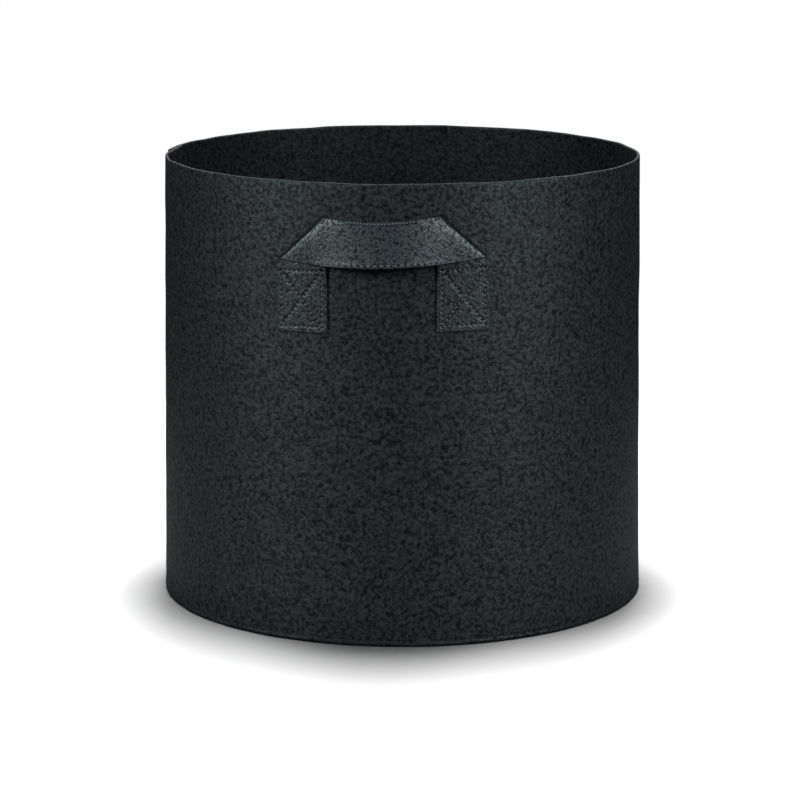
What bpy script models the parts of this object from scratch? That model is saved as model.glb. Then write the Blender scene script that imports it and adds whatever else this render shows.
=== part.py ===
"""Fabric grow bag: a lap-seamed felt wall, a felt base sewn in by its turned-up edge, two webbing handles.

Metres, +Z up. The origin is the middle of the base's underside, and the front handle faces -Y.
Each handle is built once, facing -Y, and the rear one shares its meshes, turned half a circle.
"""

import math

import bmesh
import bpy
from mathutils import Matrix, Vector

# Driving dimensions
DIAMETER = 0.300  # outside of the felt, halfway up
HEIGHT = 0.277
SPREAD = 0.004  # how much larger the radius is at the bottom than at the rim
FELT = 0.002  # thickness
STRAP_WIDTH = 0.0317
STRAP = 0.0017  # thickness of the webbing
THREAD = 0.0007  # diameter
GAP = 0.0003  # left between pieces that touch

# Wall and its lap seam
RADIUS = DIAMETER / 2
SEAM_ANGLE = math.radians(174)  # middle of the lap, anticlockwise from +X
LAP = 0.020
LAP_EASE = 0.025  # length over which each layer steps aside for the other
LAP_SHIFT = (FELT + GAP) / 2
LAP_FACETS = 3
EASE_FACETS = 4
WALL_FACETS = 60  # round the rest of the bag
LAP_ROWS = 0.006  # the two rows of stitches, each side of the lap's middle

# Base and its seam
FLANGE_HEIGHT = 0.010
BEND_OUTSIDE = 0.0025
BEND_INSIDE = 0.0011
BASE_SEAM_Z = 0.0032
GROOVE_DEPTH = 0.0007  # the stitches pull the felt in
GROOVE_HALF_WIDTH = 0.00065

# Handles, in arc lengths from the handle's middle and heights
STRAP_RADIUS = 0.150  # of the arcs that they lie along
LEAN = 0.023  # rise along the arc: a handle is sewn on a little askew
TAB_MIDDLE = 0.0484
TAB_INNER = TAB_MIDDLE - STRAP_WIDTH / 2
TAB_BOTTOM = 0.1895
TAB_TOP = 0.2275
RISER_BOTTOM = 0.2324
FOLD_TIP = Vector((0.0612, 0.2320))  # lower, outer end of each diagonal fold
FOLD_CORNER = Vector((0.0334, 0.2576))  # its upper, inner end
LAYER_GAP = 0.0004  # between the two layers at a fold
GRIP_LOWER_MIDDLE_Z = 0.2312
GRIP_UPPER_MIDDLE_Z = 0.2558
GRIP_LOWER_BOW = 0.0190  # how far the middle of each edge stands out past the folds
GRIP_UPPER_BOW = 0.0055
GRIP_BOW_POWER = 1.5
GRIP_COLUMNS = 24
STRAP_FACETS = 4  # across the strap
FOLD_FACETS = 5  # round each diagonal fold
BOX_WIDTH = 0.026
BOX_BOTTOM = 0.1928
BOX_TOP = 0.2260
EDGE_ROW = 0.045  # the grip's stitches, as a share of its width from each edge
SEWN_SPAN = 0.56  # the sewn share of the grip, each side of its middle
BACKING_INSET = 0.03  # how far the backing stops short of the grip's edges, as a share of its width

# Hinge on which a handle turns away from the wall
HINGE = Vector((0, -0.1443, 0.2298))

INNER_SIDE = GAP  # how far the strap's faces lie out from the felt
OUTER_SIDE = GAP + STRAP
FRONT_LAYER = OUTER_SIDE + LAYER_GAP
FOLD_MIDDLE = OUTER_SIDE + LAYER_GAP / 2

SHARP_ANGLE = math.radians(40)  # edges sharper than this are shaded as edges


def clear_scene():
    for item in list(bpy.data.objects):
        bpy.data.objects.remove(item)


def material(name, colour, roughness):
    made = bpy.data.materials.new(name)
    made.use_nodes = True
    shader = made.node_tree.nodes["Principled BSDF"]
    shader.inputs["Base Color"].default_value = (*colour, 1)
    shader.inputs["Roughness"].default_value = roughness
    shader.inputs["Metallic"].default_value = 0
    made.diffuse_color = (*colour, 1)
    return made


def smoothstep(value):
    value = min(max(value, 0), 1)
    return value * value * (3 - 2 * value)


def shares(count):
    return [k / count for k in range(count + 1)]


def finished_mesh(name, bm):
    """The bmesh as a mesh with its faces pointing out, shaded smooth except at its edges."""
    bmesh.ops.recalc_face_normals(bm, faces=bm.faces)
    if bm.calc_volume(signed=True) < 0:
        bmesh.ops.reverse_faces(bm, faces=bm.faces)
    mesh = bpy.data.meshes.new(name)
    bm.to_mesh(mesh)
    bm.free()
    mesh.shade_smooth()
    mesh.set_sharp_from_angle(angle=SHARP_ANGLE)
    return mesh


def loft(name, sections, closed=False):
    """A solid through loops of equally many points: a ring if closed, otherwise capped at both ends."""
    bm = bmesh.new()
    loops = [[bm.verts.new(point) for point in section] for section in sections]
    pairs = list(zip(loops, loops[1:]))
    if closed:
        pairs.append((loops[-1], loops[0]))
    else:
        bm.faces.new(loops[0])
        bm.faces.new(loops[-1])
    for first, second in pairs:
        for i, vert in enumerate(first):
            bm.faces.new((first[i - 1], vert, second[i], second[i - 1]))
    return finished_mesh(name, bm)


def place(name, mesh, coating, parent=None):
    """A node of the bag, with its mesh in its parent's space."""
    if not mesh.materials:
        mesh.materials.append(coating)
    node = bpy.data.objects.new(name, mesh)
    bpy.context.scene.collection.objects.link(node)
    node.parent = parent


def thread(name, points, outwards, closed=False):
    """A thread along points, square in section, with one flat lying on the face with these normals."""
    sections = []
    for i, (point, out) in enumerate(zip(points, outwards)):
        ahead = points[(i + 1) % len(points)] if closed else points[min(i + 1, len(points) - 1)]
        behind = points[i - 1] if closed else points[max(i - 1, 0)]
        side = (ahead - behind).cross(out).normalized()
        up = side.cross(ahead - behind).normalized()
        corners = ((-1, -1), (1, -1), (1, 1), (-1, 1))
        sections.append([point + (side * x + up * y) * THREAD / 2 for x, y in corners])
    return loft(name, sections, closed)


# Wall, base and their seams


def radius_at(z):
    """Outer radius of the wall at a height."""
    return RADIUS + SPREAD * (0.5 - z / HEIGHT)


def on_circle(angle, radius, z):
    return Vector((radius * math.cos(angle), radius * math.sin(angle), z))


def wall_columns():
    """Angles and outward shifts of the wall's sheet, from its inner end under the lap to its outer end."""
    half = LAP / 2 / RADIUS
    ease = LAP_EASE / RADIUS
    whole = 2 * math.pi
    first = half + ease
    last = whole - first
    steps = [half * (2 * share - 1) for share in shares(LAP_FACETS)]
    steps += [half + ease * share for share in shares(EASE_FACETS)[1:]]
    steps += [first + (last - first) * share for share in shares(WALL_FACETS)[1:]]
    steps += [last + ease * share for share in shares(EASE_FACETS)[1:]]
    steps += [whole + half * (2 * share - 1) for share in shares(LAP_FACETS)[1:]]
    for step in steps:
        inner_end = -LAP_SHIFT * (1 - smoothstep((step - half) / ease))
        outer_end = LAP_SHIFT * smoothstep((step - last) / ease)
        yield SEAM_ANGLE + step, inner_end + outer_end


def round_columns():
    """Angles round the bag that match the wall's, once round."""
    return [angle for angle, _ in wall_columns()][: -LAP_FACETS - 1]


def inward_shift(angle):
    """How far the base's turned-up edge steps inwards beside the lap."""
    half = LAP / 2 / RADIUS
    turned = abs((angle - SEAM_ANGLE + math.pi) % (2 * math.pi) - math.pi)
    return -LAP_SHIFT * (1 - smoothstep((turned - half) * RADIUS / LAP_EASE))


def outward_shift(angle):
    """How far the outer ring of stitches steps outwards over the lap and down from its edge."""
    half = (LAP + THREAD) / 2 / RADIUS
    turned = abs((angle - SEAM_ANGLE + math.pi) % (2 * math.pi) - math.pi)
    return LAP_SHIFT * (1 - smoothstep((turned - half) * RADIUS / LAP_EASE))


def arc_points(middle, radius, start, end, facets):
    """Points (across, height) on an arc between two angles in degrees."""
    turns = [math.radians(start + (end - start) * share) for share in shares(facets)]
    return [
        (middle[0] + radius * math.cos(turn), middle[1] + radius * math.sin(turn)) for turn in turns
    ]


def wall_section():
    """(depth, height) round the sheet's section, with its groove and its round upper edge."""
    slope = GROOVE_HALF_WIDTH + GROOVE_DEPTH / 2
    section = [
        (0, 0),
        (0, BASE_SEAM_Z - slope),
        (GROOVE_DEPTH, BASE_SEAM_Z - GROOVE_HALF_WIDTH),
        (GROOVE_DEPTH, BASE_SEAM_Z + GROOVE_HALF_WIDTH),
        (0, BASE_SEAM_Z + slope),
    ]
    edge = FELT / 2
    return section + arc_points((edge, HEIGHT - edge), edge, 180, 0, 4) + [(FELT, 0)]


def side_wall_mesh():
    section = wall_section()
    return loft(
        "side_wall",
        [
            [on_circle(angle, radius_at(z) + shift - depth, z) for depth, z in section]
            for angle, shift in wall_columns()
        ],
    )


def base_section():
    """(radius, height) from the underside, out and up round the flange, to the inside floor."""
    outside = radius_at(FLANGE_HEIGHT) - FELT - GAP
    inside = outside - FELT
    edge = FELT / 2
    under = arc_points((outside - BEND_OUTSIDE, BEND_OUTSIDE), BEND_OUTSIDE, -90, 0, 3)
    top = arc_points((outside - edge, FLANGE_HEIGHT - edge), edge, 0, 180, 3)
    floor = arc_points((inside - BEND_INSIDE, FELT + BEND_INSIDE), BEND_INSIDE, 0, -90, 2)
    return under + top + floor


def base_disc_mesh():
    return loft(
        "base_disc",
        [
            [on_circle(angle, radius + inward_shift(angle), z) for angle in round_columns()]
            for radius, z in base_section()
        ],
    )


def ring_thread(name, radius, shift):
    angles = round_columns()
    points = [on_circle(angle, radius + shift(angle), BASE_SEAM_Z) for angle in angles]
    return thread(name, points, [on_circle(angle, 1, 0) for angle in angles], closed=True)


def upright_thread(name, arc, out, bottom):
    """One row of the side seam's stitches, arc from the lap's middle and out from the wall's outer face."""
    angle = SEAM_ANGLE + arc / RADIUS
    ends = [on_circle(angle, radius_at(z) + out, z) for z in (bottom, HEIGHT - FELT)]
    return thread(name, ends, [on_circle(angle, 1, 0)] * 2)


def build_bag(felt, sewing):
    place("side_wall", side_wall_mesh(), felt)
    place("base_disc", base_disc_mesh(), felt)
    needle = radius_at(BASE_SEAM_Z) - GROOVE_DEPTH + GAP + THREAD / 2
    bobbin = radius_at(FLANGE_HEIGHT) - 2 * FELT - 2 * GAP - THREAD / 2
    place("base_seam_needle_thread", ring_thread("base_needle", needle, outward_shift), sewing)
    place("base_seam_bobbin_thread", ring_thread("base_bobbin", bobbin, inward_shift), sewing)
    outside = LAP_SHIFT + GAP + THREAD / 2
    inside = -LAP_SHIFT - FELT - GAP - THREAD / 2
    for side, arc in (("rear", -LAP_ROWS), ("front", LAP_ROWS)):
        name = f"side_seam_{side}_"
        over_base = BASE_SEAM_Z + 3 * THREAD
        over_flange = FLANGE_HEIGHT + 2 * THREAD
        place(name + "needle_thread", upright_thread(name + "needle", arc, outside, over_base), sewing)
        place(name + "bobbin_thread", upright_thread(name + "bobbin", arc, inside, over_flange), sewing)


# Handles


def on_wall(arc, z, out):
    """The point at an arc length from the handle's middle, a height, and a distance out from the felt."""
    angle = arc / STRAP_RADIUS
    height = z + LEAN * arc
    reach = radius_at(height) + out
    return Vector((reach * math.sin(angle), -reach * math.cos(angle), height))


def bow(along):
    """How far the grip bows out, from 0 at its folds to 1 at its middle."""
    return (1 - min(abs(along), 1) ** 2) ** GRIP_BOW_POWER


def grip_middle(along, across):
    """A point halfway through the grip: along from -1 to 1, across from 0 at its lower edge to 1."""
    rise = bow(along)
    layer = FRONT_LAYER + STRAP / 2
    lower = on_wall(
        along * FOLD_TIP.x,
        FOLD_TIP.y + rise * (GRIP_LOWER_MIDDLE_Z - FOLD_TIP.y),
        layer + GRIP_LOWER_BOW * rise,
    )
    upper = on_wall(
        along * FOLD_CORNER.x,
        FOLD_CORNER.y + rise * (GRIP_UPPER_MIDDLE_Z - FOLD_CORNER.y),
        layer + GRIP_UPPER_BOW * rise,
    )
    return lower.lerp(upper, across)


def grip_outward(along, across):
    """The grip's outward normal."""
    step = 0.01
    sideways = grip_middle(along + step, across) - grip_middle(along - step, across)
    upwards = grip_middle(along, 1) - grip_middle(along, 0)
    return sideways.cross(upwards).normalized()


def grip_point(along, across, out):
    return grip_middle(along, across) + grip_outward(along, across) * out


def grip_layer(spans, acrosses, front, back):
    """Sections of a layer that follows the grip, between two distances out from the grip's middle."""
    return [
        [grip_point(along, across, front) for across in acrosses]
        + [grip_point(along, across, back) for across in reversed(acrosses)]
        for along in spans
    ]


def fold_sections(side):
    """Sections of the riser and the diagonal fold on one side, from the riser's inner edge to the grip."""
    across_fold = Vector((FOLD_TIP.y - FOLD_CORNER.y, FOLD_CORNER.x - FOLD_TIP.x)).normalized()
    away = Vector((-across_fold.x, -across_fold.y))
    line = [FOLD_TIP.lerp(FOLD_CORNER, share) for share in shares(STRAP_FACETS)]
    line[0].y = RISER_BOTTOM
    sections = []
    for share in shares(STRAP_FACETS):
        arcs = [TAB_INNER + (point.x - TAB_INNER) * share for point in line]
        outer = [on_wall(side * arc, point.y, INNER_SIDE) for arc, point in zip(arcs, line)]
        inner = [on_wall(side * arc, point.y, OUTER_SIDE) for arc, point in zip(arcs, line)]
        sections.append(outer + inner[::-1])
    line[0].y = FOLD_TIP.y
    for share in shares(FOLD_FACETS)[1:-1]:
        turn = math.pi * share
        skins = []
        for bend in (STRAP + LAYER_GAP / 2, LAYER_GAP / 2):
            reach = away * bend * math.sin(turn)
            out = FOLD_MIDDLE - bend * math.cos(turn)
            skins.append([on_wall(side * (p.x + reach.x), p.y + reach.y, out) for p in line])
        sections.append(skins[0] + skins[1][::-1])
    return sections


def grip_mesh():
    """The strap above the hinge: risers against the wall, folded over on the diagonals into the grip."""
    spans = [2 * share - 1 for share in shares(GRIP_COLUMNS)]
    front = grip_layer(spans, shares(STRAP_FACETS), STRAP / 2, -STRAP / 2)
    return loft("grip", fold_sections(-1) + front + fold_sections(1)[::-1])


def backing_mesh():
    spans = [SEWN_SPAN * (2 * share - 1) for share in shares(GRIP_COLUMNS // 2)]
    acrosses = [BACKING_INSET, 0.5, 1 - BACKING_INSET]
    back = -STRAP / 2 - GAP
    return loft("grip_backing", grip_layer(spans, acrosses, back, back - STRAP))


def edge_thread(name, across, out):
    spans = [SEWN_SPAN * (2 * share - 1) for share in shares(GRIP_COLUMNS // 2)]
    points = [grip_point(along, across, out) for along in spans]
    return thread(name, points, [grip_outward(along, across) for along in spans])


def tab_mesh(side):
    sections = []
    for share in shares(STRAP_FACETS):
        arc = side * (TAB_INNER + STRAP_WIDTH * share)
        corners = (
            (TAB_BOTTOM, INNER_SIDE),
            (TAB_BOTTOM, OUTER_SIDE),
            (TAB_TOP, OUTER_SIDE),
            (TAB_TOP, INNER_SIDE),
        )
        sections.append([on_wall(arc, z, out) for z, out in corners])
    return loft("tab", sections)


def box_outlines():
    """The box of stitches with its cross, laid flat round (0, 0): its outline and its four openings."""
    half = Vector((BOX_WIDTH / 2, (BOX_TOP - BOX_BOTTOM) / 2))
    clear = half - Vector((THREAD, THREAD))
    slant = THREAD / 2 * half.length
    to_side, to_end = slant / half.y, slant / half.x
    corners = [(-1, -1), (1, -1), (1, 1), (-1, 1)]
    outlines = [[(half.x * x, half.y * y) for x, y in corners]]
    for sign in (-1, 1):
        at_side = clear.x * half.y / half.x - to_end
        outlines.append([(sign * clear.x, -at_side), (sign * clear.x, at_side), (sign * to_side, 0)])
        at_end = clear.y * half.x / half.y - to_side
        outlines.append([(-at_end, sign * clear.y), (at_end, sign * clear.y), (0, sign * to_end)])
    return outlines


def box_thread(name, side, out):
    """The box and cross as a thin plate, bent round the wall."""
    bm = bmesh.new()
    edges = []
    for outline in box_outlines():
        verts = [bm.verts.new((x, y, 0)) for x, y in outline]
        edges += [bm.edges.new((verts[i - 1], vert)) for i, vert in enumerate(verts)]
    bmesh.ops.triangle_fill(bm, use_beauty=True, edges=edges)
    face = bmesh.ops.extrude_face_region(bm, geom=bm.faces[:])["geom"]
    raised = [item for item in face if isinstance(item, bmesh.types.BMVert)]
    bmesh.ops.translate(bm, verts=raised, vec=(0, 0, THREAD))
    for share in shares(STRAP_FACETS)[1:-1]:
        bmesh.ops.bisect_plane(
            bm,
            geom=bm.verts[:] + bm.edges[:] + bm.faces[:],
            plane_co=(BOX_WIDTH * (share - 0.5), 0, 0),
            plane_no=(1, 0, 0),
        )
    middle = (BOX_BOTTOM + BOX_TOP) / 2
    for vert in bm.verts:
        flat = vert.co.copy()
        vert.co = on_wall(side * TAB_MIDDLE + flat.x, middle + flat.y, out + flat.z)
    return finished_mesh(name, bm)


def seat(name, turn):
    """Where a handle is sewn on, with its hinge, as two empties."""
    base = bpy.data.objects.new(name + "_seat", None)
    hinge = bpy.data.objects.new(name + "_hinge", None)
    for empty in (base, hinge):
        bpy.context.scene.collection.objects.link(empty)
    base.rotation_euler.z = turn
    hinge.parent = base
    hinge.location = HINGE
    return base, hinge


def build_handles(webbing, sewing):
    fixed = {}
    for side, sign in (("left", -1), ("right", 1)):
        fixed[f"{side}_tab"] = (tab_mesh(sign), webbing)
        fixed[f"{side}_box_needle_thread"] = (box_thread("needle", sign, OUTER_SIDE + GAP), sewing)
        fixed[f"{side}_box_bobbin_thread"] = (box_thread("bobbin", sign, -FELT - GAP - THREAD), sewing)
    moving = {"grip": (grip_mesh(), webbing), "grip_backing": (backing_mesh(), webbing)}
    outside = STRAP / 2 + GAP + THREAD / 2
    inside = -(3 * STRAP / 2 + 2 * GAP + THREAD / 2)
    for edge, across in (("lower", EDGE_ROW), ("upper", 1 - EDGE_ROW)):
        moving[f"grip_{edge}_needle_thread"] = (edge_thread("needle", across, outside), sewing)
        moving[f"grip_{edge}_bobbin_thread"] = (edge_thread("bobbin", across, inside), sewing)
    for mesh, _ in moving.values():
        mesh.transform(Matrix.Translation(-HINGE))
    for handle, turn in (("front", 0), ("rear", math.pi)):
        base, hinge = seat(f"{handle}_handle", turn)
        for name, (mesh, coating) in fixed.items():
            place(f"{handle}_{name}", mesh, coating, base)
        for name, (mesh, coating) in moving.items():
            place(f"{handle}_{name}", mesh, coating, hinge)


def main():
    clear_scene()
    felt = material("felt", (0.030, 0.034, 0.036), 0.95)
    webbing = material("webbing", (0.050, 0.055, 0.057), 0.7)
    sewing = material("thread", (0.12, 0.125, 0.13), 0.6)
    build_bag(felt, sewing)
    build_handles(webbing, sewing)


main()
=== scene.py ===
"""Looks of the fabric grow bag: felt, webbing and stitches built round its CAD model, in metres."""

import math

import bpy
import numpy as np
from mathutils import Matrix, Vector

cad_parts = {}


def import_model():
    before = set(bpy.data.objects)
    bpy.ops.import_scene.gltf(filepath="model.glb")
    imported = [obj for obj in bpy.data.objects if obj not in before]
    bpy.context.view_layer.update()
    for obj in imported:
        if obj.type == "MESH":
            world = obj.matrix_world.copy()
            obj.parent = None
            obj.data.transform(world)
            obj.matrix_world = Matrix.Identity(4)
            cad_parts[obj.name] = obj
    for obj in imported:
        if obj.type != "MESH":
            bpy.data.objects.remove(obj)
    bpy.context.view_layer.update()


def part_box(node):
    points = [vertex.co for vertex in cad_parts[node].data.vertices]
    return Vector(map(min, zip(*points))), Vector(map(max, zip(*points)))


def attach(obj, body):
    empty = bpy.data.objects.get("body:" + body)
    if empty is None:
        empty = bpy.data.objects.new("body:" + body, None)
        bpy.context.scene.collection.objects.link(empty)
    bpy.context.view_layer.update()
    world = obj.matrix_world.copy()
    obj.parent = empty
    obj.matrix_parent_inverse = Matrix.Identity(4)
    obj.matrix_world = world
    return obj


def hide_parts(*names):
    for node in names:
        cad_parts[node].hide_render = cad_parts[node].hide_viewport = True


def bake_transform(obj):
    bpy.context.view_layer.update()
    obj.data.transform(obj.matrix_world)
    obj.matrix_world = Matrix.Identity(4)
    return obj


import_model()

# Bag, as in the CAD model
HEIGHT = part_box("side_wall")[1].z
RADIUS = 0.150  # halfway up
SPREAD = 0.004  # how much larger the radius is at the foot than at the rim
FELT = 0.002  # thickness
GAP = 0.0003  # between layers of cloth
SEAM_ANGLE = math.radians(174)
LAP_SHIFT = (FELT + GAP) / 2  # how far each end of the sheet moves in or out to pass the other
LAP_EASE = 0.025  # the length over which it does so
LAP_ROWS = 0.006  # from the lap's middle to each row of stitches
FLANGE_HEIGHT = 0.010  # of the base's edge, turned up inside the wall
BASE_SEAM_Z = 0.0032

# Handles, as in the CAD model: arc lengths from the handle's middle, and heights
STRAP_WIDTH = 0.0317
STRAP = 0.0017  # thickness
STRAP_RADIUS = 0.150
LEAN = 0.023  # how far the handle rises for its length
TAB_MIDDLE = 0.0484
TAB_BOTTOM = 0.1895
KNEE_Z = 0.2282  # where the tab's straight edges end and the strap turns towards its fold
FOLD_TIP = np.array((0.0612, 0.2320))  # the fold's lower end
FOLD_CORNER = np.array((0.0334, 0.2576))  # and its upper end
LAYER_GAP = 0.0004  # between the riser and the grip folded over it
GRIP_LOWER_MIDDLE_Z = 0.2312
GRIP_UPPER_MIDDLE_Z = 0.2558
GRIP_LOWER_BOW = 0.0190
GRIP_UPPER_BOW = 0.0055
GRIP_BOW_POWER = 1.5
GRIP_BELLY = 0.0006
BOX_WIDTH = 0.026
BOX_BOTTOM = 0.1928
BOX_TOP = 0.2260
BOX_PITCH = 0.0030
BOX_MIDDLE_Z = (BOX_BOTTOM + BOX_TOP) / 2
BOX_HALF = np.array((BOX_WIDTH, BOX_TOP - BOX_BOTTOM)) / 2
EDGE_ROW = 0.045  # from the grip's edges to their rows of stitches, as a share of its width
SEWN_SPAN = 0.56  # the share of the grip that has those stitches
STRAP_MIDDLE_OUT = GAP + STRAP / 2
FOLD_MIDDLE_OUT = GAP + STRAP + LAYER_GAP / 2
FRONT_MIDDLE_OUT = GAP + STRAP + LAYER_GAP + STRAP / 2

# Where the strap bends when the handle swings
BEND_START_Z = 0.2265
BEND_END_Z = 0.2311

# Felt out of true: the wall's bulges, ripples and small ripples, the rim's waves and the base's
BULGE = 0.00045
RIPPLE = 0.00016
SMALL_RIPPLE = 0.00007
RIM_WAVE = 0.00025
RIM_WAVE_BOTTOM = 0.25
BASE_WAVE = 0.00035
BASE_RIPPLE = 0.00012
EASE = 0.02  # the length over which each of these comes in

# How far stitches draw the cloth in, and over what half width
SEAM_PULL = 0.00035
SEAM_PULL_BETWEEN = 0.00002  # halfway between two holes
SEAM_PULL_WIDTH = 0.0009
SIDE_PULL = 0.00035
SIDE_PULL_WIDTH = 0.0012
BOX_PULL = 0.00055
BOX_PULL_WIDTH = 0.0009
GRIP_PULL = 0.00035
GRIP_PULL_WIDTH = 0.0008

# Webbing
YARNS = 24
YARN = STRAP_WIDTH / YARNS
PICK = 0.0022  # spacing of the weft threads
RELIEF = 0.00014
YARN_VALLEY = 0.4  # how high the weave stays between two yarns, and between two picks
PICK_VALLEY = 0.2
UV_LENGTH = 0.1  # the length of strap that one unit of its coordinates stands for
EDGE_ROUND = 0.0007  # the width of a long edge that is rounded off
EDGE_THIN = 0.75  # how much of the square of its thickness is lost there
EDGE_BULGE = 0.00025

# Mesh rows and columns
STITCHES = 242  # round the base
COLUMNS = 2 * STITCHES
LAP_COLUMNS = 5  # each side of the lap's middle
LAP_HALF = LAP_COLUMNS * 2 * math.pi / COLUMNS
WALL_ROWS = 78
ACROSS = 3 * YARNS + 1
TAB_ROWS = 80
RISER_ROWS = 45
FOLD_ROWS = 8
GRIP_ROWS = 250
BACKING_ROWS = 140
SIDE_ROW_POINTS = 60
GRIP_ROW_POINTS = 72
BOX_RUN_POINTS = 40

# Stitches. SUNK is how far a row's path lies below the cloth's face, PROUD how far the stitches rise from
# their path, and SHARE how much of the pitch they take up.
THREAD_RADIUS = 0.00036
THREAD_PROUD = 0.00030
THREAD_SINK = 0.00075  # how far a stitch's ends go in
THREAD_SHARE = 0.80
THREAD_ENDS = 0.75  # its radius where it goes into the cloth, over its radius on top
THREAD_HEIGHT = 0.9  # over its width
ARCH_POWER = 0.55  # below 1, for a stitch that lies flat on top
STITCH_SECTIONS = 7
STITCH_SIDES = 8
FOOT_SUNK_OUTSIDE = 0.00045
FOOT_SUNK_INSIDE = 0.0001
SIDE_STITCHES = 69
SIDE_SUNK = 0.00025
SIDE_ROW_BOTTOM_OUTSIDE = BASE_SEAM_Z + 0.0021
SIDE_ROW_BOTTOM_INSIDE = FLANGE_HEIGHT + 0.0014
GRIP_STITCHES = 20
GRIP_THREAD_RADIUS = 0.00048
GRIP_PROUD = 0.00045
GRIP_SHARE = 0.62
GRIP_SUNK_FRONT = 0.00022
GRIP_SUNK_BEHIND = 0.0001
BOX_SUNK_OUTSIDE = 0.00035
BOX_SUNK_INSIDE = 0.00020
BOX_BORDER_PROUD, BOX_BORDER_SHARE = 0.00035, 0.6
BOX_CROSS_PROUD, BOX_CROSS_SHARE = 0.0, 0.8

# Studio
FLOOR_RADIUS = 0.6  # a pale round table, which the white studio carries on
FLOOR_CORNERS = 96
FILL = 0.01
TINT = (0.86, 1.0, 1.02)
SOFTBOX_DISTANCE = 1.8
SOFTBOX_WIDTH = 0.5
SOFTBOX_AIM = (0, 0, 0.15)
SOFTBOXES = (  # degrees from the front, degrees up, height, radiance
    (-80, 34, 0.6, 0.3),
    (-65, 34, 0.6, 1.3),
    (-57, 17, 0.25, 23.0),
    (-42, 17, 0.25, 14.0),
    (-15, 34, 0.6, 0.8),
    (50, 38, 0.4, 2.4),
    (50, 17, 0.25, 22.0),
    (63, 17, 0.25, 16.0),
    (80, 34, 0.6, 0.2),
    (165, 42, 0.6, 10.0),
    (200, 42, 0.6, 10.0),
)

# Camera, at the photograph's angle
CAMERA_AZIMUTH = math.radians(4.7)
CAMERA_PITCH = math.radians(11.881)
CAMERA_DISTANCE = 1.8760
CAMERA_HEIGHT = 0.5132
CAMERA_ASIDE = 2.5 / 3010  # pixels over the focal length in pixels
LENS_MM = 135.45
SENSOR_MM = 36
CLIP_END = 60


# Shapes


def smooth(value):
    value = np.clip(value, 0, 1)
    return value * value * (3 - 2 * value)


def dip(away, width):
    """1 on a line of stitches, falling to 0 beside it."""
    return np.exp(-((away / width) ** 2))


def soft_noise(u, v, cells_u, cells_v, seed):
    """Smooth noise from -1 to 1 over u and v from 0 to 1, which repeats in u."""
    grid = np.random.default_rng(seed).uniform(-1, 1, (cells_u, cells_v + 1))
    x = np.mod(u, 1) * cells_u
    y = np.clip(v, 0, 1) * cells_v
    i = np.floor(x).astype(int)
    j = np.minimum(np.floor(y).astype(int), cells_v - 1)
    fx, fy = smooth(x - i), smooth(y - j)
    i, after = i % cells_u, (i + 1) % cells_u
    low = grid[i, j] * (1 - fx) + grid[after, j] * fx
    high = grid[i, j + 1] * (1 - fx) + grid[after, j + 1] * fx
    return low * (1 - fy) + high * fy


def uneven(angle, z):
    """How far the felt stands out of true: slow bulges, and shallow ripples. The foot stays true."""
    u, v = angle / (2 * math.pi), z / HEIGHT
    slow = BULGE * soft_noise(u, v, 7, 2, seed=3)
    ripples = RIPPLE * soft_noise(u, v, 40, 12, seed=5) + SMALL_RIPPLE * soft_noise(u, v, 120, 36, seed=7)
    return (slow + ripples) * smooth(z / EASE)


def wall_radius(angle, z):
    return RADIUS + SPREAD * (0.5 - z / HEIGHT) + uneven(angle, z)


def round_axis(angle, radius, z):
    return np.stack([radius * np.cos(angle), radius * np.sin(angle), z + 0 * angle], -1)


def quads(rows, columns, wrap_columns=False):
    """Faces of a grid of points numbered along its rows."""
    i = np.arange(rows - 1)[:, None]
    j = np.arange(columns if wrap_columns else columns - 1)[None, :]
    below, above = i * columns, (i + 1) * columns
    after = (j + 1) % columns
    corners = [below + j, below + after, above + after, above + j]
    return np.stack([np.broadcast_to(c, (i.size, j.size)) for c in corners], -1).reshape(-1, 4)


def end_caps(rows, columns):
    """The two faces that close a tube of points numbered along its rows."""
    return [list(range(columns))[::-1], list(range((rows - 1) * columns, rows * columns))]


def make(name, points, faces, coating, uv=None, painted_shade=None):
    """A piece from points, faces and a list of materials.

    uv holds a strap's coordinates, and the argument after it how much painted shade lies at each point, from
    0 to 1.
    """
    mesh = bpy.data.meshes.new(name)
    mesh.from_pydata(np.asarray(points, float).reshape(-1, 3).tolist(), [], [list(f) for f in faces])
    mesh.shade_smooth()
    for material in coating:
        mesh.materials.append(material)
    if uv is not None:
        layer = mesh.uv_layers.new(name="Strap")
        index = np.zeros(len(mesh.loops), int)
        mesh.loops.foreach_get("vertex_index", index)
        layer.data.foreach_set("uv", np.asarray(uv, np.float32).reshape(-1, 2)[index].ravel())
    if painted_shade is not None:
        # painted shade for the strap's stitch grooves and folds, which its material darkens by
        layer = mesh.attributes.new("painted_shade", "FLOAT", "POINT")
        layer.data.foreach_set("value", np.asarray(painted_shade, np.float32).ravel())
    piece = bpy.data.objects.new(name, mesh)
    bpy.context.scene.collection.objects.link(piece)
    return piece


# Felt wall and base


def lap_turn(angle):
    """The angle from the lap's middle, from -pi to pi."""
    return np.mod(angle - SEAM_ANGLE + math.pi, 2 * math.pi) - math.pi


def lap_ease(distance):
    """1 on the lap, falling to 0 at a distance beside it."""
    return 1 - smooth(distance / LAP_EASE)


def beside_lap(angle, half=LAP_HALF):
    return lap_ease((np.abs(lap_turn(angle)) - half) * RADIUS)


def column_turn(column):
    return column * 2 * math.pi / COLUMNS


def seam_pull(column, z):
    """How far the base seam draws the felt in, deepest where the thread goes through."""
    hole = (column % 2 == 0).astype(float)
    return (SEAM_PULL_BETWEEN + SEAM_PULL * hole) * dip(z - BASE_SEAM_Z, SEAM_PULL_WIDTH)


def side_pull(turn):
    """How far the side seam's two rows draw the felt in."""
    return SIDE_PULL * dip(np.abs(turn) * RADIUS - LAP_ROWS, SIDE_PULL_WIDTH)


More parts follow.
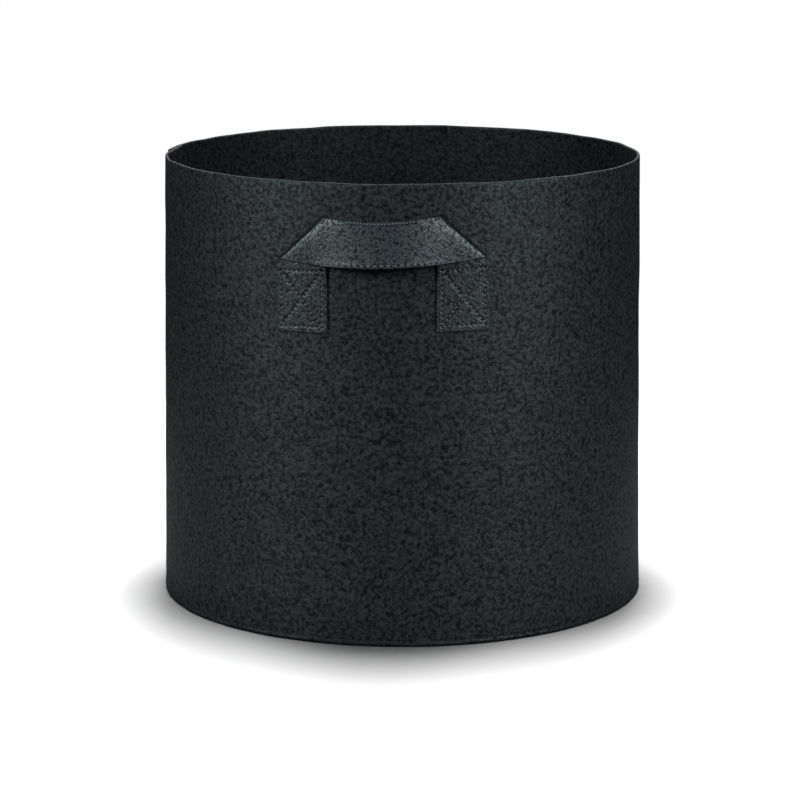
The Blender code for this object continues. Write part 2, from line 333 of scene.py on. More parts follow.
def wall_profile():
    """(depth, height, on the cut edge) round the sheet's section: up outside, over the rim, down inside."""
    edge = FELT / 2
    foot = 0.0018  # radius of the outer lower edge
    up = [
        (foot - foot * math.sin(a), foot - foot * math.cos(a), 0) for a in np.linspace(0, math.pi / 2, 5)
    ]
    seam_rows = np.arange(0.0022, 0.0062, 0.00042)
    rows_above_seam = np.arange(0.0066, 0.0110, 0.0014)
    plain_rows = np.linspace(0.0125, HEIGHT - 0.0026, WALL_ROWS)
    up += [(0, z, 0) for z in np.concatenate([seam_rows, rows_above_seam, plain_rows])]
    rim = [
        (edge - edge * math.cos(a), HEIGHT - edge + edge * math.sin(a), 1)
        for a in np.linspace(0, math.pi, 9)
    ]
    down = [(FELT, z, 0) for z in plain_rows[::-1]]
    down += [(FELT, z, 0) for z in (0.0100, 0.0075, 0.0050, 0.0025, 0.0006)]
    return np.array(up + rim + down)


def felt_wall(felt, rim_with_painted_highlight, inside_with_painted_shade):
    """One sheet rolled into a tube, with its ends lapped."""
    profile = wall_profile()
    depth, z, on_rim = profile.T
    column = np.arange(-LAP_COLUMNS, COLUMNS + LAP_COLUMNS + 1)
    from_start = (column_turn(column) - LAP_HALF) * RADIUS
    from_end = (column_turn(COLUMNS - column) - LAP_HALF) * RADIUS
    shift = LAP_SHIFT * (lap_ease(from_end) - lap_ease(from_start))
    angles, heights = np.meshgrid(SEAM_ANGLE + column_turn(column), z, indexing="ij")
    depths = np.broadcast_to(depth, angles.shape)
    outside = np.clip(1 - depths / FELT, 0, 1)
    pull = seam_pull(np.abs(column)[:, None], heights) * outside
    pull = pull + side_pull(lap_turn(angles)) * (2 * outside - 1)
    radius = wall_radius(angles, heights) + shift[:, None] - depths - pull
    wave = soft_noise(angles / (2 * math.pi), 0 * angles, 60, 1, seed=11)
    rise = RIM_WAVE * wave * smooth((heights - RIM_WAVE_BOTTOM) / EASE)
    points = np.stack([radius * np.cos(angles), radius * np.sin(angles), heights + rise], -1)
    rows, section = angles.shape
    faces = quads(rows, section, wrap_columns=True)
    # the cut edge over the rim takes the lighter copy of the felt: painted highlight
    on_edge = np.tile(on_rim * np.roll(on_rim, -1), rows - 1)
    # the inner faces take the darker copy of the felt: painted shade inside the bag
    inside = np.tile(depth == FELT, rows - 1) * (on_edge == 0)
    coating = [felt, rim_with_painted_highlight, inside_with_painted_shade]
    wall = make("felt_wall", points, [*faces.tolist(), *end_caps(rows, section)], coating)
    index = np.zeros(len(wall.data.polygons), int)
    index[: len(on_edge)] = on_edge + 2 * inside
    wall.data.polygons.foreach_set("material_index", index)
    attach(wall, "bag")
    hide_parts("side_wall")


def base_profile(outside):
    """(radius, height) of the base's section: out underneath, up and over its edge, and in on top."""
    inside = outside - FELT
    bend_out, bend_in, edge = 0.0025, 0.0011, FELT / 2
    middle, beside_bend = 0.004, 0.003
    turns = np.linspace(0, math.pi / 2, 6)
    section = [(r, 0.0) for r in np.linspace(middle, outside - bend_out - beside_bend, 22)]
    section += [(outside - bend_out * (1 - math.sin(a)), bend_out * (1 - math.cos(a))) for a in turns]
    section += [(outside, 0.005)]
    section += [
        (outside - edge + edge * math.cos(a), FLANGE_HEIGHT - edge + edge * math.sin(a))
        for a in np.linspace(0, math.pi, 8)
    ]
    section += [(inside, 0.006)]
    section += [(inside - bend_in * (1 - math.cos(a)), FELT + bend_in * (1 - math.sin(a))) for a in turns]
    section += [(r, FELT) for r in np.linspace(inside - bend_in - beside_bend, middle, 44)]
    return np.array(section)


def felt_base(felt):
    """The round base with its edge turned up inside the wall."""
    wall_outside = RADIUS + SPREAD * 0.46  # at the height of the base's turned-up edge
    outside = wall_outside - FELT - GAP
    section = base_profile(outside)
    angle = SEAM_ANGLE + np.arange(STITCHES) * 2 * math.pi / STITCHES
    reach, angles = np.meshgrid(section[:, 0], angle, indexing="ij")
    z = np.broadcast_to(section[:, 1][:, None], reach.shape)
    near_edge = smooth((reach - 0.12) / EASE)
    radius = reach - LAP_SHIFT * beside_lap(angles) * near_edge
    wave = soft_noise(angles / (2 * math.pi), reach / RADIUS, 14, 9, seed=13)
    ripple = soft_noise(angles / (2 * math.pi), reach / RADIUS, 90, 30, seed=17)
    on_top = smooth((z - 0.0012) / 0.0006) * (1 - near_edge)
    z = z + on_top * (BASE_WAVE * (1 + wave) + BASE_RIPPLE * ripple)
    points = np.stack([radius * np.cos(angles), radius * np.sin(angles), z], -1)
    faces = quads(*reach.shape, wrap_columns=True).tolist() + end_caps(*reach.shape)
    base = make("felt_base", points, [face[::-1] for face in faces], [felt])
    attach(base, "bag")
    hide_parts("base_disc")
    return base


# Stitches


def stitch_row(
    name, path, outward, count, body, replaced, thread,
    proud=THREAD_PROUD, share=THREAD_SHARE, radius=THREAD_RADIUS,
):
    """A row of lockstitches along a path of points, each a short arch of thread that goes into the cloth."""
    path, outward = np.asarray(path, float), np.asarray(outward, float)
    lengths = np.r_[0, np.cumsum(np.linalg.norm(np.diff(path, axis=0), axis=1))]
    k = np.linspace(0, 1, STITCH_SECTIONS)
    along = (np.arange(count)[:, None] + 0.5 + (k[None, :] - 0.5) * share) / count * lengths[-1]
    centre = np.stack([np.interp(along, lengths, path[:, axis]) for axis in range(3)], -1)
    normal = np.stack([np.interp(along, lengths, outward[:, axis]) for axis in range(3)], -1)
    normal /= np.linalg.norm(normal, axis=-1, keepdims=True)
    arch = np.sin(math.pi * k) ** ARCH_POWER
    centre = centre + normal * (proud * arch - THREAD_SINK * (1 - arch))[None, :, None]
    tangent = np.gradient(centre, axis=1)
    tangent /= np.linalg.norm(tangent, axis=-1, keepdims=True)
    side = np.cross(tangent, normal)
    side /= np.linalg.norm(side, axis=-1, keepdims=True)
    up = np.cross(side, tangent)
    turn = np.arange(STITCH_SIDES) * 2 * math.pi / STITCH_SIDES
    fat = radius * (THREAD_ENDS + (1 - THREAD_ENDS) * arch)[None, :, None, None]
    across, high = np.cos(turn)[:, None], np.sin(turn)[:, None] * THREAD_HEIGHT
    ring = side[:, :, None] * across + up[:, :, None] * high
    points = centre[:, :, None] + ring * fat
    one = quads(STITCH_SECTIONS, STITCH_SIDES, wrap_columns=True).tolist()
    one += end_caps(STITCH_SECTIONS, STITCH_SIDES)
    size = STITCH_SECTIONS * STITCH_SIDES
    faces = [[corner + n * size for corner in face] for n in range(count) for face in one]
    row = make(name, points, faces, [thread])
    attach(row, body)
    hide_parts(replaced)
    return row


def foot_row(name, radius, way, replaced, thread):
    """A row round the foot of the bag. radius is a function of the angle, way is 1 outside and -1 inside."""
    angle = SEAM_ANGLE + np.linspace(0, 2 * math.pi, 4 * STITCHES + 1)
    path = round_axis(angle, radius(angle), BASE_SEAM_Z)
    stitch_row(name, path, round_axis(angle, way, 0), STITCHES, "bag", replaced, thread)


def bag_stitches(thread):
    foot = RADIUS + SPREAD * 0.49  # the wall's outside, at the height of the base seam

    def outer(angle):
        return foot - FOOT_SUNK_OUTSIDE + LAP_SHIFT * beside_lap(angle, LAP_HALF + 0.0005 / RADIUS)

    def inner(angle):
        return foot - 2 * FELT - GAP + FOOT_SUNK_INSIDE - LAP_SHIFT * beside_lap(angle)

    foot_row("base_stitches_outside", outer, 1, "base_seam_needle_thread", thread)
    foot_row("base_stitches_inside", inner, -1, "base_seam_bobbin_thread", thread)
    for side, arc in (("rear", -LAP_ROWS), ("front", LAP_ROWS)):
        angle = SEAM_ANGLE + arc / RADIUS
        for face, kind, out, bottom, way in (
            ("outside", "needle", LAP_SHIFT - SIDE_SUNK, SIDE_ROW_BOTTOM_OUTSIDE, 1),
            ("inside", "bobbin", -LAP_SHIFT - FELT + SIDE_SUNK, SIDE_ROW_BOTTOM_INSIDE, -1),
        ):
            z = np.linspace(bottom, HEIGHT - FELT, SIDE_ROW_POINTS)
            angles = angle + 0 * z
            stitch_row(
                f"side_stitches_{side}_{face}", round_axis(angles, wall_radius(angles, z) + out, z),
                round_axis(angles, way, 0), SIDE_STITCHES, "bag", f"side_seam_{side}_{kind}_thread", thread,
            )


# Handles


class Seat:
    """A place on the wall where a handle is sewn, turned round the axis from the front."""

    def __init__(self, turn):
        self.turn = turn - math.pi / 2

    def outward(self, arc):
        angle = self.turn + np.asarray(arc, float) / STRAP_RADIUS
        return np.stack([np.cos(angle), np.sin(angle), 0 * angle], -1)

    def point(self, arc, z, out):
        """A point at an arc length from the handle's middle, a height, and a distance out from the felt."""
        arc, z, out = np.broadcast_arrays(np.asarray(arc, float), z, out)
        angle = self.turn + arc / STRAP_RADIUS
        height = z + LEAN * arc
        reach = wall_radius(angle, height) + out
        return np.stack([reach * np.cos(angle), reach * np.sin(angle), height], -1)

    def grip(self, along, across):
        """A point halfway through the grip: along from -1 to 1, across from 0 at its lower edge to 1."""
        along, across = np.broadcast_arrays(np.asarray(along, float), across)
        rise = (1 - np.minimum(np.abs(along), 1) ** 2) ** GRIP_BOW_POWER

        def edge(end, middle_z, bow):
            z = end[1] + rise * (middle_z - end[1])
            return self.point(along * end[0], z, FRONT_MIDDLE_OUT + bow * rise)

        lower = edge(FOLD_TIP, GRIP_LOWER_MIDDLE_Z, GRIP_LOWER_BOW)
        upper = edge(FOLD_CORNER, GRIP_UPPER_MIDDLE_Z, GRIP_UPPER_BOW)
        belly = GRIP_BELLY * np.sin(math.pi * across) * rise
        middle = lower + (upper - lower) * across[..., None]
        return middle + belly[..., None] * self.outward(0)

    def grip_outward(self, along, across):
        step = 0.01
        sideways = self.grip(along + step, across) - self.grip(along - step, across)
        upwards = self.grip(along, across * 0 + 1) - self.grip(along, across * 0)
        normal = np.cross(sideways, upwards)
        return normal / np.linalg.norm(normal, axis=-1, keepdims=True)


def weave(s, t):
    """Height of the webbing's weave, from 0 in its valleys to 1 on its yarns, at s along and t across."""
    yarn = np.abs(np.sin(math.pi * t / YARN)) ** 0.7
    shift = np.mod(np.floor(t / YARN + 1e-6), 2) * 0.5
    pick = np.abs(np.sin(math.pi * (s / PICK + shift))) ** 0.8
    return (YARN_VALLEY + (1 - YARN_VALLEY) * yarn) * (PICK_VALLEY + (1 - PICK_VALLEY) * pick)


def row_pull(along, away, length):
    """How far a row of stitches draws the webbing in, from 0 to 1, deepest where the thread goes through."""
    hole = np.cos(math.pi * along * round(length / BOX_PITCH) / length) ** 2
    return dip(away, BOX_PULL_WIDTH) * (0.5 + 0.5 * hole)


def box_pull(x, y):
    """How far the box and cross stitches draw the webbing in, from 0 to 1, x and y from the box's middle."""
    half_x, half_y = BOX_HALF
    length = math.hypot(half_x, half_y)
    beside, border = 0.0008, 0.6
    inside = (np.abs(x) < half_x + beside) & (np.abs(y) < half_y + beside)
    pull = np.zeros(np.shape(x))
    for sign in (-1, 1):
        away = (x * half_y - sign * y * half_x) / length
        along = (x * half_x + sign * y * half_y) / length + length
        pull = np.maximum(pull, row_pull(along, away, 2 * length))
    pull = np.maximum(pull, border * row_pull(y + half_y, np.abs(x) - half_x, 2 * half_y))
    pull = np.maximum(pull, border * row_pull(x + half_x, np.abs(y) - half_y, 2 * half_x))
    return pull * inside


def strap_rows(seat):
    """Middle points and normals of the whole strap, row by row from one tab's end to the other's.

    The normals point at the wall on the tabs, and out once the strap has folded over into the grip.
    Returns the places across the strap, the points, the normals, and how many rows come before the grip's.
    """
    across = np.linspace(0, 1, ACROSS)  # 0 is the grip's lower edge and each tab's outer one
    arcs = TAB_MIDDLE + STRAP_WIDTH * (0.5 - across)
    fold = FOLD_TIP + (FOLD_CORNER - FOLD_TIP) * across[:, None]
    away = np.array((FOLD_CORNER[1] - FOLD_TIP[1], FOLD_TIP[0] - FOLD_CORNER[0]))
    away = away / np.linalg.norm(away)
    bend = (STRAP + LAYER_GAP) / 2

    def side(sign):
        rows = []
        for z in np.linspace(TAB_BOTTOM, KNEE_Z, TAB_ROWS):
            rows.append((seat.point(sign * arcs, z, STRAP_MIDDLE_OUT), -seat.outward(sign * arcs)))
        for share in np.linspace(0, 1, RISER_ROWS + 1)[1:]:
            arc = arcs + (fold[:, 0] - arcs) * smooth(share)
            z = KNEE_Z + (fold[:, 1] - KNEE_Z) * share
            rows.append((seat.point(sign * arc, z, STRAP_MIDDLE_OUT), -seat.outward(sign * arc)))
        for turn in np.linspace(0, math.pi, FOLD_ROWS + 2)[1:-1]:
            reach = away * bend * math.sin(turn)
            arc, z = fold[:, 0] + reach[0], fold[:, 1] + reach[1]
            middle = seat.point(sign * arc, z, FOLD_MIDDLE_OUT - bend * math.cos(turn))
            step = away * 0.001
            aside = seat.point(sign * (arc + step[0]), z + step[1], 0) - seat.point(sign * arc, z, 0)
            aside /= np.linalg.norm(aside, axis=-1, keepdims=True)
            rows.append((middle, aside * math.sin(turn) - seat.outward(sign * arc) * math.cos(turn)))
        return rows

    left, right = side(-1), side(1)
    grip = []
    for along in np.linspace(-1, 1, GRIP_ROWS):
        spread = np.full(across.shape, along)
        grip.append((seat.grip(spread, across), seat.grip_outward(spread, across)))
    middle, normal = np.array(left + grip + right[::-1]).swapaxes(0, 1)
    return across, middle, normal, len(left)


def strap_mesh(name, across, middle, normal, skin_a, skin_b, painted_shade_a, painted_shade_b, webbing):
    """Two woven faces and two round edges, from rows of middle points.

    skin_a and skin_b are the faces' extra heights. The two after them are the painted shade on each face,
    from 0 to 1.
    """
    step = np.linalg.norm(np.diff(middle, axis=0), axis=-1)
    s = np.r_[np.zeros((1, step.shape[1])), np.cumsum(step, axis=0)]
    s = s - s[len(s) // 2]
    t = np.broadcast_to(across * STRAP_WIDTH, s.shape)
    from_edge = np.minimum(t, STRAP_WIDTH - t)
    round_off = np.sqrt(1 - np.clip(1 - from_edge / EDGE_ROUND, 0, 1) ** 2 * EDGE_THIN)
    face = (STRAP / 2 - RELIEF) * round_off + RELIEF * (weave(s, t) - 0.5)
    front = middle + normal * (face + skin_a)[..., None]
    back = middle - normal * (face + skin_b)[..., None]
    sideways = np.gradient(middle, axis=1)
    sideways /= np.linalg.norm(sideways, axis=-1, keepdims=True)
    low = middle[:, :1] - sideways[:, :1] * EDGE_BULGE
    high = middle[:, -1:] + sideways[:, -1:] * EDGE_BULGE
    points = np.concatenate([low, front, high, back[:, ::-1]], axis=1)

    def round_loop(front_values, back_values):
        edges = front_values[:, :1], front_values[:, -1:]
        return np.concatenate([edges[0], front_values, edges[1], back_values[:, ::-1]], axis=1)

    uv = np.stack([round_loop(s, s), round_loop(t, t)], -1) / UV_LENGTH
    rows, loop = points.shape[:2]
    faces = quads(rows, loop, wrap_columns=True).tolist() + end_caps(rows, loop)
    return make(name, points, faces, [webbing], uv, round_loop(painted_shade_a, painted_shade_b))


def strap(side, seat, webbing):
    """The whole strap, sewn-down tabs, risers and grip in one."""
    across, middle, normal, count = strap_rows(seat)
    total = len(middle)
    index = np.arange(total)[:, None]
    tab = (index < TAB_ROWS) | (index >= total - TAB_ROWS)
    row = np.minimum(index, total - 1 - index)
    z = TAB_BOTTOM + (KNEE_Z - TAB_BOTTOM) * row / (TAB_ROWS - 1)
    x = STRAP_WIDTH * (0.5 - across)[None, :]
    pull = box_pull(x + 0 * z, z - BOX_MIDDLE_Z + 0 * x) * tab
    along = (index - count) / (GRIP_ROWS - 1) * 2 - 1
    sewn = smooth((SEWN_SPAN + 0.03 - np.abs(along)) / 0.04)  # fades out past the rows' ends
    from_row = np.minimum(np.abs(across - EDGE_ROW), np.abs(across - 1 + EDGE_ROW))[None, :] * STRAP_WIDTH
    hole = np.cos(math.pi * (along / SEWN_SPAN + 1) * GRIP_STITCHES / 2) ** 2
    groove = dip(from_row, GRIP_PULL_WIDTH) * sewn * (0.4 + 0.6 * hole)  # deepest at the holes
    fold = (row - count + FOLD_ROWS + 1) / (FOLD_ROWS + 1)  # 0 to 1 round the roll of each fold
    roll = smooth((1.05 - fold) / 0.2) * (fold > 0) * (fold < 1) + 0 * x  # painted shade all round it, for the shadow where the fold meets the felt
    # Painted shade: on one face in the grip's stitch grooves and round each fold, on the other in the box
    # stitches' grooves.
    piece = strap_mesh(
        f"{side}_strap", across, middle, normal, -GRIP_PULL * groove, -BOX_PULL * pull,
        np.maximum(0.8 * groove, roll), pull, webbing,
    )
    x, y, _ = seat.point(0, (BEND_START_Z + BEND_END_Z) / 2, 0)
    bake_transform(piece)
    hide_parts(f"{side}_left_tab", f"{side}_right_tab", f"{side}_grip")


def backing(side, seat, body, webbing):
    """The second layer behind the grip."""
    across = np.linspace(0.03, 0.97, ACROSS - 6)
    middle, normal = [], []
    for along in np.linspace(-SEWN_SPAN, SEWN_SPAN, BACKING_ROWS):
        spread = np.full(across.shape, along)
        out = seat.grip_outward(spread, across)
        middle.append(seat.grip(spread, across) - out * (STRAP + GAP))
        normal.append(out)
    flat = np.zeros((BACKING_ROWS, len(across)))
    piece = strap_mesh(
        f"{side}_strap_backing", across, np.array(middle), np.array(normal), flat, flat, flat, flat, webbing
    )
    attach(piece, body)
    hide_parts(f"{side}_grip_backing")


def grip_stitches(side, seat, body, thread):
    """A row along each edge of the grip: fat needle thread in front, and bobbin thread behind the backing."""
    front = STRAP / 2 - GRIP_SUNK_FRONT
    behind = 3 * STRAP / 2 + GAP - GRIP_SUNK_BEHIND
    for edge, across in (("lower", EDGE_ROW), ("upper", 1 - EDGE_ROW)):
        along = np.linspace(-SEWN_SPAN, SEWN_SPAN, GRIP_ROW_POINTS)
        out = seat.grip_outward(along, across + 0 * along)
        path = seat.grip(along, across + 0 * along)
        name = f"{side}_grip_{edge}"
        stitch_row(
            f"{name}_stitches", path + out * front, out, GRIP_STITCHES, body, f"{name}_needle_thread",
            thread, proud=GRIP_PROUD, share=GRIP_SHARE, radius=GRIP_THREAD_RADIUS,
        )
        stitch_row(
            f"{name}_stitches_behind", path - out * behind, -out, GRIP_STITCHES, body,
            f"{name}_bobbin_thread", thread,
        )


def box_stitches(name, seat, arc, out, way, replaced, thread):
    """The box with its cross: one line round the box and over one diagonal, then the other diagonal."""
    corners = BOX_HALF * ((-1, -1), (1, -1), (1, 1), (-1, 1), (-1, -1), (1, 1))
    runs = [*zip(corners, corners[1:]), BOX_HALF * ((-1, 1), (1, -1))]
    rows = []
    for number, (first, last) in enumerate(runs):
        ends = first + (last - first) * np.linspace(0, 1, BOX_RUN_POINTS)[:, None]
        path = seat.point(arc + ends[:, 0], BOX_MIDDLE_Z + ends[:, 1], out)
        normal = seat.outward(arc + ends[:, 0]) * way
        count = round(float(np.linalg.norm(last - first)) / BOX_PITCH)
        on_border = number < 4
        proud = BOX_BORDER_PROUD if on_border else BOX_CROSS_PROUD
        share = BOX_BORDER_SHARE if on_border else BOX_CROSS_SHARE
        rows.append(
            stitch_row(f"{name}_{number}", path, normal, count, "bag", replaced, thread, proud, share=share)
        )
    merge(name, rows)


def merge(name, parts):
    """Joins pieces into the first, under a new name."""
    with bpy.context.temp_override(active_object=parts[0], selected_editable_objects=parts):
        bpy.ops.object.join()
    parts[0].name = name
    parts[0].data.name = name


def handle(side, turn, webbing, thread):
    body = f"{side}_handle"
    seat = Seat(turn)
    strap(side, seat, webbing)
    backing(side, seat, body, webbing)
    grip_stitches(side, seat, body, thread)
    for end, sign in (("left", -1), ("right", 1)):
        for face, kind, out, way in (
            ("outside", "needle", GAP + STRAP - BOX_SUNK_OUTSIDE, 1),
            ("inside", "bobbin", -FELT + BOX_SUNK_INSIDE, -1),
        ):
            box_stitches(
                f"{side}_{end}_box_stitches_{face}", seat, sign * TAB_MIDDLE, out, way,
                f"{side}_{end}_box_{kind}_thread", thread,
            )


# Materials


class Nodes:
    """A material's node tree, with short calls to add nodes."""

    def __init__(self, name):
        self.material = bpy.data.materials.new(name)
        self.material.use_nodes = True
        self.tree = self.material.node_tree
        self.shader = self.tree.nodes["Principled BSDF"]

    def add(self, kind, inputs=None, **settings):
        node = self.tree.nodes.new(kind)
        for key, value in settings.items():
            setattr(node, key, value)
        for key, value in (inputs or {}).items():
            self.plug(value, node.inputs[key])
        return node

    def plug(self, value, socket):
        if isinstance(value, bpy.types.NodeSocket):
            self.tree.links.new(value, socket)
        else:
            socket.default_value = value

    def coat(self, **values):
        """Sets the shader's sockets, or links them. Names are in lower case with underscores."""
        names = {socket.name.lower().replace(" ", "_"): socket for socket in self.shader.inputs}
        for key, value in values.items():
            self.plug(value, names[key])

    def place(self):
        return self.add("ShaderNodeTexCoord").outputs["Object"]

    def noise(self, where, scale, detail=2.0, roughness=0.5, distortion=0.0):
        detail_inputs = {"Detail": detail, "Roughness": roughness, "Distortion": distortion}
        node = self.add("ShaderNodeTexNoise", {"Vector": where, "Scale": scale, **detail_inputs})
        return node.outputs["Fac"]

    def remap(self, value, low, high, to_low=0.0, to_high=1.0):
        node = self.add(
            "ShaderNodeMapRange",
            {"Value": value, "From Min": low, "From Max": high, "To Min": to_low, "To Max": to_high},
        )
        return node.outputs["Result"]

    def math(self, operation, a, b=0.0):
        return self.add("ShaderNodeMath", {0: a, 1: b}, operation=operation).outputs[0]

    def wave(self, turns):
        """The height of a row of round humps, one for each whole turn."""
        return self.math("ABSOLUTE", self.math("SINE", self.math("MULTIPLY", turns, math.pi)))

    def mix(self, factor, a, b):
        node = self.add("ShaderNodeMix", data_type="RGBA")
        self.plug(factor, node.inputs["Factor"])
        for key, value in (("A", a), ("B", b)):
            socket = next(s for s in node.inputs if s.name == key and s.type == "RGBA")
            self.plug(value, socket)
        return next(s for s in node.outputs if s.type == "RGBA")

    def bump(self, height, strength, distance, normal=None):
        node = self.add("ShaderNodeBump", {"Height": height, "Strength": strength, "Distance": distance})
        if normal is not None:
            self.plug(normal, node.inputs["Normal"])
        return node.outputs["Normal"]


def grey(value, blue=1.0):
    return (value, value, value * blue, 1)


def black_cloth(value):
    """A dark grey with the blue cast of black synthetic fibres."""
    return grey(value, blue=1.12)


def felt_material(name, dark, light, painted_pit_shade, specular, roughness):
    """Needle-punched felt: matted fibres in small tufts of random tone, with painted shade in the pits
    between them, on colour and reflection alike.
    """
    nodes = Nodes(name)
    where = nodes.place()
    tufts = nodes.noise(where, scale=430, detail=3.0, roughness=0.6, distortion=0.3)
    fuzz = nodes.noise(where, scale=1500, detail=2.0, roughness=0.6, distortion=1.5)
    normal = nodes.bump(fuzz, strength=1.0, distance=0.0001)
    # the tufts' low places are darker: random tone, and painted shade in the pits
    shade = nodes.remap(tufts, 0.36, 0.62)
    nodes.coat(
        base_color=nodes.mix(shade, black_cloth(dark), black_cloth(light)),
        specular_tint=nodes.mix(shade, grey(painted_pit_shade), grey(1)),
        specular_ior_level=specular,
        roughness=roughness,
        normal=nodes.bump(tufts, strength=1.0, distance=0.0004, normal=normal),
    )
    return nodes.material


def webbing_material():
    """Woven polypropylene: glossy black yarns in random specks, with painted shade in the gaps between them,
    in stitch grooves and round folds.
    """
    nodes = Nodes("webbing_weave")
    strap_place = nodes.add("ShaderNodeUVMap", uv_map="Strap").outputs["UV"]
    split = nodes.add("ShaderNodeSeparateXYZ", {0: strap_place})
    s = nodes.math("MULTIPLY", split.outputs[0], UV_LENGTH / PICK)
    t = nodes.math("MULTIPLY", split.outputs[1], UV_LENGTH / YARN)
    shift = nodes.math("MULTIPLY", nodes.math("FLOORED_MODULO", nodes.math("FLOOR", t), 2), 0.5)
    yarn = nodes.remap(nodes.wave(t), 0.0, 1.0, YARN_VALLEY, 1.0)
    pick = nodes.remap(nodes.wave(nodes.math("ADD", s, shift)), 0.0, 1.0, PICK_VALLEY, 1.0)
    height = nodes.math("MULTIPLY", yarn, pick)
    where = nodes.place()
    fibres = nodes.noise(where, scale=1800, detail=2.0, roughness=0.6)
    specks = nodes.noise(where, scale=560, detail=1.0, roughness=0.5, distortion=0.4)
    normal = nodes.bump(fibres, strength=0.6, distance=0.0001)
    # painted shade in the weave's valleys, on colour and reflection alike
    on_yarns = nodes.remap(height, 0.2, 0.8, 0.35, 1.0)
    shade = nodes.math("MULTIPLY", on_yarns, nodes.remap(specks, 0.34, 0.54, 0.15, 1.0))
    # painted shade in the strap's stitch grooves and round its folds
    painted_shade = nodes.add("ShaderNodeAttribute", attribute_type="GEOMETRY", attribute_name="painted_shade")
    shade = nodes.math("MULTIPLY", shade, nodes.remap(painted_shade.outputs["Fac"], 0.1, 0.7, 1.0, 0.0))
    nodes.coat(
        base_color=nodes.mix(shade, black_cloth(0.002), black_cloth(0.076)),
        specular_tint=nodes.mix(shade, grey(0.2), grey(1)),
        specular_ior_level=0.7,
        roughness=nodes.remap(shade, 0.0, 1.0, 0.45, 0.33),
        normal=nodes.bump(specks, strength=1.0, distance=0.0003, normal=normal),
    )
    return nodes.material


def thread_material(name, dark, light):
    """Twisted polyester thread."""
    nodes = Nodes(name)
    where = nodes.place()
    plies = nodes.add(
        "ShaderNodeTexWave", {"Vector": where, "Scale": 900.0, "Distortion": 3.0, "Detail": 1.0},
        wave_type="BANDS", bands_direction="DIAGONAL",
    ).outputs["Fac"]
    spread = nodes.noise(where, scale=300)
    shade = nodes.math("MULTIPLY", plies, nodes.remap(spread, 0.3, 0.7, 0.7, 1.1))
    nodes.coat(
        base_color=nodes.mix(shade, black_cloth(dark), black_cloth(light)),
        specular_ior_level=0.5,
        roughness=nodes.remap(spread, 0.3, 0.7, 0.48, 0.36),
        normal=nodes.bump(plies, strength=0.5, distance=0.00015),
    )
    return nodes.material


def floor_material():
    """Pale to the camera, and darker as a reflector, so that it doesn't wash out the felt."""
    nodes = Nodes("studio_floor")
    path = nodes.add("ShaderNodeLightPath")
    colour = nodes.mix(path.outputs["Is Camera Ray"], grey(0.1), grey(0.86))
    nodes.coat(base_color=colour, specular_ior_level=0.0, roughness=0.9)
    return nodes.material


# Studio


def area_light(name, place, aim, size, radiance, colour=(1, 1, 1)):
    """A rectangular softbox of a given radiance. size is (width, height)."""
    light = bpy.data.lights.new(name, "AREA")
    light.shape = "RECTANGLE"
    light.size, light.size_y = size
    light.energy = math.pi * size[0] * size[1] * radiance
    light.color = colour
    lamp = bpy.data.objects.new(name, light)
    bpy.context.scene.collection.objects.link(lamp)
    lamp.location = place
    lamp.rotation_euler = (Vector(aim) - Vector(place)).to_track_quat("-Z", "Y").to_euler()
    lamp.visible_camera = False
    return lamp


def world():
    """White to the camera, with only a little fill light."""
    sky = bpy.data.worlds.new("studio")
    sky.use_nodes = True
    tree = sky.node_tree
    tree.nodes.clear()
    fill = tree.nodes.new("ShaderNodeBackground")
    seen = tree.nodes.new("ShaderNodeBackground")
    for background, strength in ((fill, FILL), (seen, 1.0)):
        background.inputs["Color"].default_value = (1, 1, 1, 1)
        background.inputs["Strength"].default_value = strength
    path = tree.nodes.new("ShaderNodeLightPath")
    mix = tree.nodes.new("ShaderNodeMixShader")
    out = tree.nodes.new("ShaderNodeOutputWorld")
    tree.links.new(path.outputs["Is Camera Ray"], mix.inputs["Fac"])
    tree.links.new(fill.outputs[0], mix.inputs[1])
    tree.links.new(seen.outputs[0], mix.inputs[2])
    tree.links.new(mix.outputs[0], out.inputs["Surface"])
    bpy.context.scene.world = sky
    bpy.context.scene.view_settings.view_transform = "Standard"


def pale_floor():
    turn = np.linspace(0, 2 * math.pi, FLOOR_CORNERS, endpoint=False)
    mesh = bpy.data.meshes.new("floor")
    mesh.from_pydata(round_axis(turn, FLOOR_RADIUS, 0).tolist(), [], [list(range(FLOOR_CORNERS))])
    mesh.materials.append(floor_material())
    floor = bpy.data.objects.new("floor", mesh)
    bpy.context.scene.collection.objects.link(floor)
    return floor


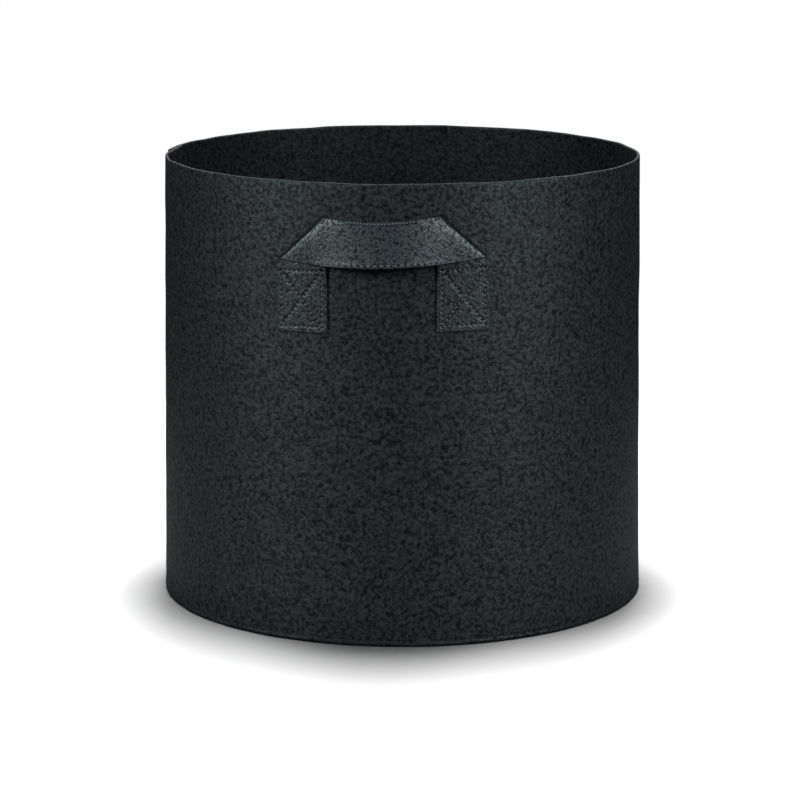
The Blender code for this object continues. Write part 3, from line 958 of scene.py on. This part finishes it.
def lights(floor, base):
    """One lamp for the floor only, one over the bag for its base only, and the rest for all but the floor."""
    on_floor = bpy.data.collections.new("lit_from_overhead")
    off_floor = bpy.data.collections.new("lit_from_around")
    on_base = bpy.data.collections.new("lit_from_inside")
    for collection, piece, state in (
        (on_floor, floor, "INCLUDE"), (off_floor, floor, "EXCLUDE"), (on_base, base, "INCLUDE"),
    ):
        collection.objects.link(piece)
        collection.collection_objects[0].light_linking.link_state = state
    overhead = area_light("overhead", (0, 0.17, 2.0), aim=(0, 0.17, 0), size=(0.42, 0.85), radiance=66.0)
    overhead.light_linking.receiver_collection = on_floor
    inside = area_light("inside", (0, 0, 1.6), aim=(0, 0, 0), size=(0.3, 0.3), radiance=70.0, colour=TINT)
    inside.light_linking.receiver_collection = on_base
    lamps = [area_light("top", (0, -0.1, 2.0), aim=(0, 0, 0.1), size=(1.2, 0.8), radiance=0.6, colour=TINT)]
    for turn, rise, height, radiance in SOFTBOXES:
        a, e = math.radians(turn), math.radians(rise)
        way = Vector((math.sin(a) * math.cos(e), -math.cos(a) * math.cos(e), math.sin(e)))
        place = Vector(SOFTBOX_AIM) + SOFTBOX_DISTANCE * way
        size = (SOFTBOX_WIDTH, height)
        lamps.append(area_light(f"softbox_{turn}", place, SOFTBOX_AIM, size, radiance, TINT))
    for lamp in lamps:
        lamp.light_linking.receiver_collection = off_floor


def camera():
    """A long lens, a little to the right of the handle and above the rim."""
    data = bpy.data.cameras.new("camera")
    data.lens = LENS_MM
    data.sensor_width = SENSOR_MM
    data.clip_end = CLIP_END
    eye = bpy.data.objects.new("camera", data)
    bpy.context.scene.collection.objects.link(eye)
    x = CAMERA_DISTANCE * math.sin(CAMERA_AZIMUTH)
    y = -CAMERA_DISTANCE * math.cos(CAMERA_AZIMUTH)
    eye.location = (x, y, CAMERA_HEIGHT)
    eye.rotation_euler = (math.pi / 2 - CAMERA_PITCH, 0, CAMERA_AZIMUTH + CAMERA_ASIDE)
    bpy.context.scene.camera = eye


camera()
felt = felt_material("felt_fibres", dark=0.004, light=0.034, painted_pit_shade=0.3, specular=0.5, roughness=0.45)
# A darker, duller copy of the felt for the inside of the wall and for the base: painted shade.
inside_with_painted_shade = felt_material("felt_inner_face", dark=0.002, light=0.017, painted_pit_shade=0.3, specular=0.25, roughness=0.6)
# A lighter copy of the felt for the cut edge over the rim: painted highlight along it.
rim_with_painted_highlight = felt_material("felt_cut_edge", dark=0.012, light=0.036, painted_pit_shade=0.5, specular=0.4, roughness=0.5)
webbing = webbing_material()
thread = thread_material("sewing_thread", dark=0.010, light=0.040)
# The handle's thread is lighter than the bag's: painted glints on its stitches.
thread_with_painted_glint = thread_material("handle_thread", dark=0.08, light=0.26)
felt_wall(felt, rim_with_painted_highlight, inside_with_painted_shade)
base = felt_base(inside_with_painted_shade)
bag_stitches(thread)
handle("front", 0, webbing, thread_with_painted_glint)
handle("rear", math.pi, webbing, thread_with_painted_glint)
world()
lights(pale_floor(), base)
